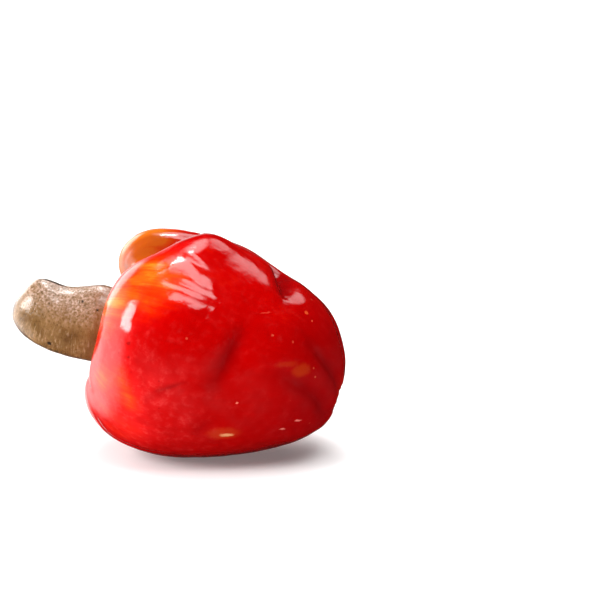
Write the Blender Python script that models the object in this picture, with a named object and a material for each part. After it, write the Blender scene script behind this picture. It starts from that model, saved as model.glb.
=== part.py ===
"""A cashew apple as picked, lying on its side: the swollen fleshy stalk, and the nut that grew on its end.

Metres, +Z up. The origin is on the surface that the fruit lies on, under the middle of its bounding box.
The nut points to -X, the stem's end to +X, and the large smooth lobe is on the -Y side.
"""

import math

import bmesh
import bpy
import numpy as np
from mathutils import Matrix, Vector

# Driving sizes, in metres
APPLE_LENGTH = 0.0750
APPLE_RADIUS = 0.0345
NUT_LENGTH = 0.0350
NUT_HALF_WIDTH = 0.0118
NUT_HALF_THICKNESS = 0.0088
NUT_GAP = 0.00035

# How they lie. Each has its own axes: x to the near side, y up, z from its broad or stem end to its tip.
FRUIT_YAW = math.radians(4)
APPLE_PITCH = math.radians(18)
APPLE_STEM_END = Vector((0.0487, -0.0032, 0.0173))
NUT_PITCH = math.radians(-1.2)
NUT_BASE = Vector((-0.0147, 0.0006, 0.0396))

# The apple's meridian, from the middle of the nut's seat over the shoulder to the middle of the stem's scar.
# Each point is its distance from the axis as a share of APPLE_RADIUS, and its height as one of APPLE_LENGTH.
APPLE_MERIDIAN = (
    (0.000, 0.893),
    (0.230, 0.900),
    (0.375, 0.940),
    (0.535, 0.989),
    (0.695, 0.981),
    (0.855, 0.927),
    (0.965, 0.827),
    (1.000, 0.680),
    (0.957, 0.533),
    (0.861, 0.387),
    (0.739, 0.247),
    (0.580, 0.127),
    (0.377, 0.043),
    (0.235, 0.010),
    (0.150, 0.006),
    (0.095, 0.019),
    (0.055, 0.031),
    (0.000, 0.032),
)

# The stem's half of the apple bows up, the most at this height above the stem's end
BOW = 0.0029
BOW_HEIGHT = 0.0125
BOW_POWER = 1.5

# A place on the skin is (share of the meridian's length from the seat, degrees round the axis). 0 degrees is
# the near side and 90 is up. Swellings and hollows: place, lift of the skin and spread in metres.
MOUNDS = {
    "near lobe's shoulder": ((0.23, -12), -0.0017, 0.0160),
    "far lobe's shoulder": ((0.20, 112), 0.0038, 0.0120),
    "hollow between them at the seat": ((0.26, 78), -0.0036, 0.0125),
    "crest of the near lobe": ((0.42, 80), 0.0024, 0.0090),
    "crest of the far lobe": ((0.42, 110), -0.0003, 0.0080),
    "near lobe's side": ((0.42, 20), 0.0004, 0.0180),
    "ridge behind the main furrow": ((0.53, 112), 0.0009, 0.0090),
    "top of the far lobe": ((0.26, 106), 0.0005, 0.0070),
    "near side of the stem end": ((0.90, 10), -0.0007, 0.0130),
    "brow above the highlights": ((0.425, 63), 0.0006, 0.0055),
    "back lobe's shoulder": ((0.22, 232), 0.0010, 0.0120),
    "hollow side of the back": ((0.55, 200), -0.0010, 0.0170),
    "shoulder under the near lobe": ((0.29, 305), -0.0008, 0.0120),
    "belly": ((0.46, 268), -0.0006, 0.0240),
}

# Furrows: the places that each runs through, then its depth and half width in metres
FURROWS = {
    "valley at the seat": (
        ((0.09, 80), (0.20, 82), (0.28, 85), (0.34, 88), (0.40, 92)), 0.0044, 0.0062),
    "main furrow, over the top": (
        ((0.20, 84), (0.30, 89), (0.44, 97), (0.55, 102), (0.614, 99), (0.636, 88), (0.648, 75), (0.658, 62)),
        0.0032, 0.0030),
    "back furrow": (((0.09, 182), (0.20, 186), (0.32, 192), (0.46, 190), (0.60, 184)), 0.0026, 0.0036),
    "belly furrow": (((0.10, 268), (0.20, 270), (0.30, 276), (0.40, 278)), 0.0014, 0.0034),
    "near shoulder's fold": (((0.11, 318), (0.20, 322), (0.28, 326)), 0.0008, 0.0030),
    "far shoulder's fold": (((0.11, 140), (0.20, 146), (0.29, 150)), 0.0009, 0.0028),
    "fold across the near lobe": (((0.585, 34), (0.575, 18), (0.560, -4)), 0.0013, 0.0030),
    "fold low on the near lobe": (((0.55, -32), (0.58, -18)), 0.0006, 0.0028),
    "dent in the near lobe": (((0.41, -16), (0.45, -10), (0.49, -4)), 0.0004, 0.0014),
    "upper stem pleat": (((0.95, 36), (0.885, 36), (0.81, 36), (0.74, 42)), 0.0013, 0.0026),
    "near stem pleat": (((0.95, -30), (0.90, -22), (0.85, -2), (0.77, 9), (0.68, 15)), 0.0012, 0.0030),
    "top stem pleat": (((0.95, 92), (0.87, 88), (0.78, 92)), 0.0010, 0.0020),
    "far stem pleat": (((0.95, 138), (0.86, 142), (0.74, 136), (0.66, 138)), 0.0013, 0.0026),
    "back stem pleat": (((0.95, 186), (0.87, 190), (0.78, 186)), 0.0010, 0.0022),
    "lower back stem pleat": (((0.95, 236), (0.86, 232), (0.76, 236), (0.68, 242)), 0.0012, 0.0026),
    "belly's stem pleat": (((0.95, 284), (0.88, 288), (0.80, 284)), 0.0009, 0.0022),
}
FURROW_SHARPNESS = 1.7
FURROW_FADE = 0.6
FURROW_STEPS = 48

# The nut's outline from its base to its tip: half width and height, each as a share of the nut's own
NUT_MERIDIAN = (
    (0.000, 0.000),
    (0.500, 0.012),
    (0.850, 0.075),
    (1.000, 0.230),
    (0.985, 0.420),
    (0.960, 0.600),
    (0.890, 0.775),
    (0.690, 0.920),
    (0.380, 0.988),
    (0.000, 1.000),
)
# The nut bends up beyond a straight base, is hollow on its upper side, and is thicker on its lower side
NUT_STRAIGHT = 0.135
NUT_BEND = math.radians(35.5)
NUT_HOLLOW_AT = 0.65
NUT_HOLLOW_DEPTH = 0.0023
NUT_HOLLOW_SPREAD = 0.0082
NUT_TAPER = 0.26

# Meshes
APPLE_RINGS = 54
APPLE_MERIDIANS = 84
NUT_RINGS = 30
NUT_MERIDIANS = 40
POLE_CROWDING = 0.45
CURVE_STEPS = 64


def clear_scene():
    """Removes what the startup file left."""
    for thing in list(bpy.data.objects):
        bpy.data.objects.remove(thing)


def smooth_path(points, steps):
    """A Catmull-Rom curve through the points, as an array."""
    knots = np.array(points, float)
    knots = np.vstack([2 * knots[0] - knots[1], knots, 2 * knots[-1] - knots[-2]])
    s = np.linspace(0, 1, steps, endpoint=False)[:, None]
    spans = []
    for a, b, c, d in zip(knots, knots[1:], knots[2:], knots[3:]):
        square = 2 * a - 5 * b + 4 * c - d
        cube = 3 * b - a - 3 * c + d
        spans.append(0.5 * (2 * b + (c - a) * s + square * s**2 + cube * s**3))
    return np.vstack(spans + [knots[-2:-1]])


def meridian_table(shares, radius, length):
    """A closed body's meridian as share of its arc, radius and height, square to the axis at both ends."""
    mirrored = [(-shares[1][0], shares[1][1]), *shares, (-shares[-2][0], shares[-2][1])]
    curve = smooth_path(mirrored, CURVE_STEPS)[CURVE_STEPS:-CURVE_STEPS] * (radius, length)
    run = np.concatenate([[0], np.cumsum(np.linalg.norm(np.diff(curve, axis=0), axis=1))])
    return run / run[-1], np.clip(curve[:, 0], 0, None), curve[:, 1]


APPLE_TABLE = meridian_table(APPLE_MERIDIAN, APPLE_RADIUS, APPLE_LENGTH)
NUT_TABLE = meridian_table(NUT_MERIDIAN, NUT_HALF_WIDTH, NUT_LENGTH)


def plain_skin(share, angle):
    """Points of the apple before it swells and folds, in its own axes."""
    radius = np.interp(share, APPLE_TABLE[0], APPLE_TABLE[1])
    height = np.interp(share, APPLE_TABLE[0], APPLE_TABLE[2])
    return np.stack([radius * np.cos(angle), radius * np.sin(angle), height], axis=-1)


def outward(share, angle):
    """Unit normals of the plain skin."""
    step = 0.002
    low = np.clip(share - step, 0, 1)
    high = np.clip(share + step, 0, 1)
    run = np.interp(high, APPLE_TABLE[0], APPLE_TABLE[1]) - np.interp(low, APPLE_TABLE[0], APPLE_TABLE[1])
    rise = np.interp(high, APPLE_TABLE[0], APPLE_TABLE[2]) - np.interp(low, APPLE_TABLE[0], APPLE_TABLE[2])
    size = np.hypot(run, rise)
    across = -rise / size
    return np.stack([across * np.cos(angle), across * np.sin(angle), run / size], axis=-1)


def mound_lift(points, place, lift, spread):
    """How far this swelling or hollow lifts the skin at each point."""
    share, degrees = place
    centre = plain_skin(share, math.radians(degrees))
    return lift * np.exp(-(np.linalg.norm(points - centre, axis=1) / spread) ** 2)


def furrow_depth(points, places, depth, half_width):
    """How deep this furrow is at each point: a soft V across it, fading at both ends."""
    route = smooth_path([(share, math.radians(degrees)) for share, degrees in places], FURROW_STEPS)
    line = plain_skin(route[:, 0], route[:, 1])
    along = np.linspace(0.02, 0.98, len(line))
    strengths = np.sin(math.pi * along) ** FURROW_FADE
    nearest = np.full(len(points), np.inf)
    strength = np.zeros(len(points))
    for spot, strength_here in zip(line, strengths):
        away = np.linalg.norm(points - spot, axis=1)
        strength = np.where(away < nearest, strength_here, strength)
        nearest = np.minimum(nearest, away)
    return depth * strength * np.exp(-((nearest / half_width) ** FURROW_SHARPNESS))


def apple_skin(share, angle):
    """Points of the apple's finished skin, in its own axes."""
    points = plain_skin(share, angle)
    lift = np.zeros(len(points))
    for place, height, spread in MOUNDS.values():
        lift += mound_lift(points, place, height, spread)
    for places, depth, half_width in FURROWS.values():
        lift -= furrow_depth(points, places, depth, half_width)
    points = points + outward(share, angle) * lift[:, None]
    height = np.clip(points[:, 2] / BOW_HEIGHT, 0, None)
    points[:, 1] += BOW * (height * np.exp(1 - height)) ** BOW_POWER
    return points


def crowded(share):
    """Moves the rings of a sphere towards both poles, where the scar and the seat need them."""
    return share - POLE_CROWDING * np.sin(2 * math.pi * share) / (2 * math.pi)


def nut_shell(share, angle, extra=0.0):
    """Points of the nut's shell in its own axes, grown on all sides by extra. Angle 0 is its hollow side."""
    width = np.interp(share, NUT_TABLE[0], NUT_TABLE[1]) / NUT_HALF_WIDTH
    height = np.interp(share, NUT_TABLE[0], NUT_TABLE[2]) * (1 + 2 * extra / NUT_LENGTH) - extra
    side = width * (NUT_HALF_WIDTH + extra) * np.cos(angle)
    thick = width * (NUT_HALF_THICKNESS + extra) * np.sin(angle) * (1 - NUT_TAPER * np.cos(angle))
    from_hollow = (height - NUT_HOLLOW_AT * NUT_LENGTH) / NUT_HOLLOW_SPREAD
    side -= NUT_HOLLOW_DEPTH * np.clip(np.cos(angle), 0, 1) ** 2 * np.exp(-(from_hollow**2))
    straight = NUT_STRAIGHT * NUT_LENGTH
    bend_radius = (NUT_LENGTH - straight) / NUT_BEND
    turn = np.clip(height - straight, 0, None) / bend_radius
    along = np.minimum(height, straight) + (bend_radius - side) * np.sin(turn)
    up = side + (bend_radius - side) * (1 - np.cos(turn))
    return np.stack([thick, up, along], axis=-1)


def placement(origin, pitch):
    """The matrix that lays a body's own axes in the world."""
    sin_pitch, cos_pitch = math.sin(pitch), math.cos(pitch)
    sin_yaw, cos_yaw = math.sin(FRUIT_YAW), math.cos(FRUIT_YAW)
    near = Vector((-sin_yaw, -cos_yaw, 0))
    up = Vector((sin_pitch * cos_yaw, -sin_pitch * sin_yaw, cos_pitch))
    axis = Vector((-cos_pitch * cos_yaw, cos_pitch * sin_yaw, sin_pitch))
    return Matrix.Translation(origin) @ Matrix((near, up, axis)).transposed().to_4x4()


def shaped_sphere(name, rings, meridians, shape):
    """A UV sphere whose points shape(share from the +Z pole, angle) moves to where they belong."""
    bm = bmesh.new()
    bmesh.ops.create_uvsphere(bm, u_segments=meridians, v_segments=rings, radius=1)
    unit = np.array([vertex.co for vertex in bm.verts])
    share = np.arccos(np.clip(unit[:, 2], -1, 1)) / math.pi
    for vertex, point in zip(bm.verts, shape(share, np.arctan2(unit[:, 1], unit[:, 0]))):
        vertex.co = point
    bm.normal_update()
    bmesh.ops.recalc_face_normals(bm, faces=bm.faces)
    mesh = bpy.data.meshes.new(name)
    bm.to_mesh(mesh)
    bm.free()
    return mesh


def flatten_foot(mesh, to_world):
    """Cuts the skin off at the floor, where the soft fruit's weight has pressed it flat."""
    to_own = to_world.inverted()
    bm = bmesh.new()
    bm.from_mesh(mesh)
    bmesh.ops.bisect_plane(
        bm,
        geom=[*bm.verts, *bm.edges, *bm.faces],
        plane_co=to_own.translation,
        plane_no=to_own.to_3x3() @ Vector((0, 0, -1)),
        clear_outer=True,
    )
    rim = [edge for edge in bm.edges if edge.is_boundary]
    bmesh.ops.holes_fill(bm, edges=rim, sides=0)
    bmesh.ops.recalc_face_normals(bm, faces=bm.faces)
    bm.to_mesh(mesh)
    bm.free()


def material(name, colour, roughness):
    """A Principled material of one colour."""
    made = bpy.data.materials.new(name)
    made.use_nodes = True
    shader = made.node_tree.nodes["Principled BSDF"]
    shader.inputs["Base Color"].default_value = (*colour, 1)
    shader.inputs["Roughness"].default_value = roughness
    shader.inputs["Metallic"].default_value = 0
    return made


def add_object(name, mesh, to_world):
    """Links a smooth-shaded object for this mesh and lays it in the world."""
    made = bpy.data.objects.new(name, mesh)
    bpy.context.scene.collection.objects.link(made)
    made.matrix_world = to_world
    mesh.shade_smooth()
    return made


def build_apple():
    """The fleshy apple with its flattened foot."""
    to_world = placement(APPLE_STEM_END, APPLE_PITCH)
    mesh = shaped_sphere(
        "cashew_apple", APPLE_RINGS, APPLE_MERIDIANS, lambda share, angle: apple_skin(crowded(share), angle)
    )
    flatten_foot(mesh, to_world)
    mesh.materials.append(material("apple_skin", (0.62, 0.02, 0.01), 0.22))
    return add_object("cashew_apple", mesh, to_world)


def build_nut():
    """The kidney-shaped nut in its grey-brown shell."""
    mesh = shaped_sphere("cashew_nut", NUT_RINGS, NUT_MERIDIANS, nut_shell)
    mesh.materials.append(material("nut_shell", (0.36, 0.25, 0.14), 0.45))
    return add_object("cashew_nut", mesh, placement(NUT_BASE, NUT_PITCH))


def cut_seat(apple):
    """Cuts the nut's seat out of the apple with a nut that is larger by the gap."""
    mesh = shaped_sphere(
        "seat_cutter", NUT_RINGS, NUT_MERIDIANS, lambda share, angle: nut_shell(share, angle, NUT_GAP)
    )
    cutter = add_object("seat_cutter", mesh, placement(NUT_BASE, NUT_PITCH))
    cutter.hide_render = True
    cutter.display_type = "WIRE"
    cut = apple.modifiers.new("seat", "BOOLEAN")
    cut.operation = "DIFFERENCE"
    cut.solver = "EXACT"
    cut.object = cutter


def main():
    clear_scene()
    apple = build_apple()
    build_nut()
    cut_seat(apple)


main()
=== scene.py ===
# %% [markdown]
# # A cashew apple with its nut
# A cashew apple is the swollen stalk of a cashew nut: a soft, lobed, waxy fruit with the kidney-shaped nut
# growing on its end. This lesson starts from a set of plain solids, one for the apple and one for the nut,
# and gives each a finer skin and a finish of its own. First it loads those solids and measures them, because
# whatever is made here has to stay the same size.

# %% Load the plain solids
import math

import bmesh
import bpy
import numpy as np
from mathutils import Matrix, Vector, noise
from mathutils.kdtree import KDTree


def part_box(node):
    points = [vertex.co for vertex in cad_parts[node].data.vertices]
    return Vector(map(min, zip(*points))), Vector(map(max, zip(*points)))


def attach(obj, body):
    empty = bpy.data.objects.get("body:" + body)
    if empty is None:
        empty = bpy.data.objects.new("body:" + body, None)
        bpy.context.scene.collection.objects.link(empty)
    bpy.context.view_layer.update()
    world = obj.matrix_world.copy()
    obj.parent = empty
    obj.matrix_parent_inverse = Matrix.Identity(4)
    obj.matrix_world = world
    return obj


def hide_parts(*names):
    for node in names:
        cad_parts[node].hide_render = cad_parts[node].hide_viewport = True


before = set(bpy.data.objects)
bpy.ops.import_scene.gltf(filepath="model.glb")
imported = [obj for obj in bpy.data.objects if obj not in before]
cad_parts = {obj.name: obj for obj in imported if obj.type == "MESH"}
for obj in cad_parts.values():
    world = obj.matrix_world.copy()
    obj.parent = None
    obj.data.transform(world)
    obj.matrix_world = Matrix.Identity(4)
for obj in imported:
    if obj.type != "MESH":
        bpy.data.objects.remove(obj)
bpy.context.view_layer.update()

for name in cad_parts:
    low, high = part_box(name)
    print(name, "measures", [round((b - a) * 1000, 1) for a, b in zip(low, high)], "mm")

# %% [markdown]
# ## The camera
# The picture looks down on the fruit by about 12 degrees, from a little more than 40 cm away. A lens of
# 85 mm keeps the fruit's proportions natural. The camera's distance follows from how wide a piece of the
# world the picture spans at the fruit, so that width is the number to set, and the lens can still change.

# %% Camera
LOOKS_DOWN = math.radians(12)
LENS = 85
SENSOR = 36
PICTURE_SPANS = 0.180
AIM = Vector((0.03655, 0, 0.0470))

camera_data = bpy.data.cameras.new("camera")
camera_data.lens = LENS
camera_data.sensor_width = SENSOR
camera_data.clip_start = 0.01
camera = bpy.data.objects.new("camera", camera_data)
bpy.context.scene.collection.objects.link(camera)
bpy.context.scene.camera = camera
to_camera = Vector((0, -math.cos(LOOKS_DOWN), math.sin(LOOKS_DOWN)))
camera.location = AIM + to_camera * (PICTURE_SPANS * LENS / SENSOR)
camera.rotation_euler = to_camera.to_track_quat("Z", "Y").to_euler()
print("the camera stands", round((camera.location - AIM).length, 3), "m from what it aims at")

# %% [markdown]
# ## The floor
# A plain white floor, wide enough that its far edge lies at the horizon. It is a single disc, because a
# floor has no detail to show, only the soft shadow that says where the fruit touches it. Glossy things
# mirror their floor, and the real skin mirrors a dark one in front, so reflections pass through this one.

# %% Floor
FLOOR_RADIUS = 500.0


def new_piece(name, bm):
    """A new object with this bmesh's faces. Every piece stays at the origin, with its place in its mesh."""
    mesh = bpy.data.meshes.new(name)
    bm.to_mesh(mesh)
    bm.free()
    made = bpy.data.objects.new(name, mesh)
    bpy.context.scene.collection.objects.link(made)
    return made


floor_bm = bmesh.new()
bmesh.ops.create_circle(floor_bm, cap_ends=True, segments=64, radius=FLOOR_RADIUS)
floor = new_piece("floor", floor_bm)
floor.visible_glossy = False
floor_paint = bpy.data.materials.new("floor_white")
floor_paint.use_nodes = True
floor_shader = floor_paint.node_tree.nodes["Principled BSDF"]
floor_shader.inputs["Base Color"].default_value = (0.93, 0.93, 0.93, 1)
floor_shader.inputs["Emission Color"].default_value = (1, 1, 1, 1)
floor_shader.inputs["Emission Strength"].default_value = 0.15
floor_shader.inputs["Roughness"].default_value = 0.8
floor_shader.inputs["Specular IOR Level"].default_value = 0.1
floor.data.materials.append(floor_paint)
print("the floor is", 2 * FLOOR_RADIUS, "m across")

# %% [markdown]
# ## The light
# A glossy fruit shows its lights as reflections, so each light is placed by the highlight that it should
# make. A tall window at the left gives the bright bar on the near shoulder, two long boxes overhead with a
# strip between them give the slanting patches on top, and a small one further back gives the two glints. A
# very soft light from above, which makes no highlight of its own, keeps the floor white and its shadow faint.

# %% Lamps
LAMPS = {
    "window": ((-0.50, -0.27, 0.34), (0.20, 0.29), 3.0, 0),
    "overhead": ((0.11, -0.05, 0.76), (0.54, 0.15), 1.6, -36),
    "front overhead": ((0.19, -0.45, 0.76), (0.50, 0.20), 2.1, -23),
    "strip between": ((0.22, -0.31, 0.76), (0.20, 0.09), 0.17, -20),
    "glint": ((-0.09, 0.22, 0.75), (0.11, 0.13), 1.05, 0),
}
CEILING = 0.7
LIT_POINT = Vector((0.0, -0.02, 0.045))
SKY_STRENGTH = 1.8
SKY_SPREAD = math.radians(90)
SKY_TILT = math.radians(-12)


def new_lamp(name, kind, energy, place):
    """A lamp of this kind: one on the ceiling hangs level, and any other looks at the fruit."""
    lamp = bpy.data.lights.new(name, kind)
    lamp.energy = energy
    light = bpy.data.objects.new(name, lamp)
    bpy.context.scene.collection.objects.link(light)
    light.location = place
    if place[2] < CEILING:
        light.rotation_euler = (Vector(place) - LIT_POINT).to_track_quat("Z", "Y").to_euler()
    return light


for name, (place, size, watts, turn) in LAMPS.items():
    light = new_lamp(name, "AREA", watts, place)
    light.rotation_euler.rotate_axis("Z", math.radians(turn))
    panel = light.data
    panel.shape = "RECTANGLE"
    panel.size, panel.size_y = size
    print(name, "gives", watts, "W from", round((Vector(place) - LIT_POINT).length, 2), "m")
soft_sky = new_lamp("soft_sky", "SUN", SKY_STRENGTH, (0.0, 0.0, 1.0))
soft_sky.rotation_euler = (0, SKY_TILT, 0)
soft_sky.data.angle = SKY_SPREAD
soft_sky.visible_glossy = False

# %% [markdown]
# ## The room around
# What the skin mirrors between its highlights sets how deep its red looks. The world is a dim room with a
# few bright stretches: a wall at the left makes the left flank pinkish, the walls behind give the far edge
# its rim of light, and two bright parts of the ceiling light the crest. There is hardly anything in front or
# at the right, where the red stays pure. Each stretch is a soft disc on the sky, found with a dot product.

# %% World
WALLS = {
    "left wall": ((-0.985, 0.160, -0.060), 0.63, 0.97, 2.7),
    "back wall": ((-0.341, 0.936, -0.087), 0.88, 0.97, 0.9),
    "far left wall": ((-0.60, 0.72, 0.34), 0.93, 0.985, 3.6),
    "back ceiling": ((-0.02, 0.430, 0.902), 0.955, 0.990, 4.2),
    "right back ceiling": ((0.381, 0.602, 0.702), 0.968, 0.992, 2.3),
}
DIM_ROOM = 0.01

world = bpy.data.worlds.new("studio")
bpy.context.scene.world = world
world.use_nodes = True
sky = world.node_tree
direction = sky.nodes.new("ShaderNodeTexCoord").outputs["Generated"]


def wall(axis, start, full, strength):
    """A soft-edged bright wall in the direction of this axis."""
    towards = sky.nodes.new("ShaderNodeVectorMath")
    towards.operation = "DOT_PRODUCT"
    towards.inputs[1].default_value = axis
    sky.links.new(direction, towards.inputs[0])
    shade = sky.nodes.new("ShaderNodeMapRange")
    shade.interpolation_type = "SMOOTHSTEP"
    for name, value in (("From Min", start), ("From Max", full), ("To Min", 0.0), ("To Max", strength)):
        shade.inputs[name].default_value = value
    sky.links.new(towards.outputs["Value"], shade.inputs["Value"])
    return shade.outputs["Result"]


room_light = None
for name, (axis, start, full, strength) in WALLS.items():
    light_sum = sky.nodes.new("ShaderNodeMath")
    light_sum.operation = "ADD"
    light_sum.inputs[1].default_value = DIM_ROOM
    if room_light is not None:
        sky.links.new(room_light, light_sum.inputs[1])
    sky.links.new(wall(axis, start, full, strength), light_sum.inputs[0])
    room_light = light_sum.outputs["Value"]
    print(name, "gives", strength)
sky.nodes["Background"].inputs["Color"].default_value = (1, 1, 1, 1)
sky.links.new(room_light, sky.nodes["Background"].inputs["Strength"])
bpy.context.scene.view_settings.view_transform = "Standard"

# %% [markdown]
# ## The fruit's own axes
# The apple and the nut are each easiest to describe along their own axis: x to the near side, y up, and z
# from the stem to the nut, or from the nut's broad end to its tip. One matrix each lays them in the world.
# The numbers are those of the plain solids, so the finer skin falls on the same shape.

# %% Sizes and placement
APPLE_LENGTH = 0.0750
APPLE_RADIUS = 0.0345
NUT_LENGTH = 0.0350
NUT_HALF_WIDTH = 0.0118
NUT_HALF_THICKNESS = 0.0088
NUT_GAP = 0.00035
FRUIT_YAW = math.radians(4)
APPLE_PITCH = math.radians(18)
APPLE_STEM_END = Vector((0.0487, -0.0032, 0.0173))
NUT_PITCH = math.radians(-1.2)
NUT_BASE = Vector((-0.0147, 0.0006, 0.0396))


def placement(origin, pitch):
    """The matrix that lays a body's own axes in the world."""
    sin_pitch, cos_pitch = math.sin(pitch), math.cos(pitch)
    sin_yaw, cos_yaw = math.sin(FRUIT_YAW), math.cos(FRUIT_YAW)
    near = Vector((-sin_yaw, -cos_yaw, 0))
    up = Vector((sin_pitch * cos_yaw, -sin_pitch * sin_yaw, cos_pitch))
    axis = Vector((-cos_pitch * cos_yaw, cos_pitch * sin_yaw, sin_pitch))
    return Matrix.Translation(origin) @ Matrix((near, up, axis)).transposed().to_4x4()


def in_world(points, matrix):
    """Points in a body's own axes, laid in the world."""
    turned = np.array(matrix)
    return points @ turned[:3, :3].T + turned[:3, 3]


APPLE_TO_WORLD = placement(APPLE_STEM_END, APPLE_PITCH)
NUT_TO_WORLD = placement(NUT_BASE, NUT_PITCH)
print("the apple's axis rises", round(math.degrees(APPLE_PITCH)), "degrees towards the nut")

# %% [markdown]
# ## A smooth outline
# A fruit has no corners, so its outline is a smooth curve through a few given points. A Catmull-Rom curve
# passes through every one of its points, which makes it easy to steer. A second helper measures how far
# along the curve each point lies, because an even spacing by length gives even faces.

# %% Curves
CURVE_STEPS = 64


def smooth_path(points, steps):
    """A Catmull-Rom curve through the points, as an array."""
    knots = np.array(points, float)
    knots = np.vstack([2 * knots[0] - knots[1], knots, 2 * knots[-1] - knots[-2]])
    s = np.linspace(0, 1, steps, endpoint=False)[:, None]
    spans = []
    for a, b, c, d in zip(knots, knots[1:], knots[2:], knots[3:]):
        square = 2 * a - 5 * b + 4 * c - d
        cube = 3 * b - a - 3 * c + d
        spans.append(0.5 * (2 * b + (c - a) * s + square * s**2 + cube * s**3))
    return np.vstack(spans + [knots[-2:-1]])


def meridian_table(shares, radius, length):
    """A closed body's meridian as share of its arc, radius and height, square to the axis at both ends."""
    mirrored = [(-shares[1][0], shares[1][1]), *shares, (-shares[-2][0], shares[-2][1])]
    curve = smooth_path(mirrored, CURVE_STEPS)[CURVE_STEPS:-CURVE_STEPS] * (radius, length)
    run = np.concatenate([[0], np.cumsum(np.linalg.norm(np.diff(curve, axis=0), axis=1))])
    return run / run[-1], np.clip(curve[:, 0], 0, None), curve[:, 1]


print("curves have", CURVE_STEPS, "steps from one point to the next")

# %% [markdown]
# ## The apple's outline
# Before it swells, the apple is a plain round body. It could be a stretched ball, but it is widest nearer
# the nut and a little hollow at both ends. So one outline is drawn, with a point for each turn of it, and
# turned about the fruit's axis. One function gives the skin's points, and another the direction that faces
# out, in which later steps lift the skin.

# %% The apple's outline
APPLE_MERIDIAN = (
    (0.000, 0.893),
    (0.230, 0.900),
    (0.375, 0.940),
    (0.535, 0.989),
    (0.695, 0.981),
    (0.855, 0.927),
    (0.965, 0.827),
    (1.000, 0.680),
    (0.957, 0.533),
    (0.861, 0.387),
    (0.739, 0.247),
    (0.580, 0.127),
    (0.377, 0.043),
    (0.235, 0.010),
    (0.150, 0.006),
    (0.095, 0.019),
    (0.055, 0.031),
    (0.000, 0.032),
)
APPLE_TABLE = meridian_table(APPLE_MERIDIAN, APPLE_RADIUS, APPLE_LENGTH)


def plain_skin(share, angle):
    """Points of the apple before it swells and folds, in its own axes."""
    radius = np.interp(share, APPLE_TABLE[0], APPLE_TABLE[1])
    height = np.interp(share, APPLE_TABLE[0], APPLE_TABLE[2])
    return np.stack([radius * np.cos(angle), radius * np.sin(angle), height], axis=-1)


def outward(share, angle):
    """Unit normals of the plain skin."""
    step = 0.002
    low = np.clip(share - step, 0, 1)
    high = np.clip(share + step, 0, 1)
    run = np.interp(high, APPLE_TABLE[0], APPLE_TABLE[1]) - np.interp(low, APPLE_TABLE[0], APPLE_TABLE[1])
    rise = np.interp(high, APPLE_TABLE[0], APPLE_TABLE[2]) - np.interp(low, APPLE_TABLE[0], APPLE_TABLE[2])
    size = np.hypot(run, rise)
    across = -rise / size
    return np.stack([across * np.cos(angle), across * np.sin(angle), run / size], axis=-1)


print("the apple's outline has", len(APPLE_MERIDIAN), "points")

# %% [markdown]
# ## Lobes and furrows
# The stalk swells unevenly, so it has lobes with furrows between them. A lobe is a smooth mound: it lifts
# the skin most at its middle and dies away around it. A furrow is the same idea along a path. Both are
# given by places on the skin, each a share of the way from the nut's seat to the stem's scar and an angle
# round the axis, where 0 is the near side and 90 is the top.

# %% Mounds
MOUNDS = {
    "near lobe's shoulder": ((0.23, -12), -0.0017, 0.0160),
    "far lobe's shoulder": ((0.20, 112), 0.0038, 0.0120),
    "hollow between them at the seat": ((0.26, 78), -0.0036, 0.0125),
    "crest of the near lobe": ((0.42, 80), 0.0024, 0.0090),
    "crest of the far lobe": ((0.42, 110), -0.0003, 0.0080),
    "near lobe's side": ((0.42, 20), 0.0004, 0.0180),
    "ridge behind the main furrow": ((0.53, 112), 0.0009, 0.0090),
    "top of the far lobe": ((0.26, 106), 0.0005, 0.0070),
    "near side of the stem end": ((0.90, 10), -0.0007, 0.0130),
    "brow above the highlights": ((0.425, 63), 0.0006, 0.0055),
    "back lobe's shoulder": ((0.22, 232), 0.0010, 0.0120),
    "hollow side of the back": ((0.55, 200), -0.0010, 0.0170),
    "shoulder under the near lobe": ((0.29, 305), -0.0008, 0.0120),
    "belly": ((0.46, 268), -0.0006, 0.0240),
}


def away_from(points, place):
    """How far each point of the plain skin is from this place on it."""
    share, degrees = place
    return np.linalg.norm(points - plain_skin(share, math.radians(degrees)), axis=1)


def mound_lift(points, place, lift, spread):
    """How far this swelling or hollow lifts the skin at each point."""
    return lift * np.exp(-(away_from(points, place) / spread) ** 2)


print(len(MOUNDS), "mounds")

# %% [markdown]
# ## Furrows and folds
# Furrows are where two lobes meet and the skin turns in. They could be sculpted, but then none could be
# moved later by changing a number. Here each is a V with a rounded bottom, drawn along a curve and fading
# at both ends. The two deepest run over the top between the lobes, and the pleats gather the skin at the
# stem. Each point looks for the nearest place on the curve, which keeps a furrow equally wide however it
# bends.

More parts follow.
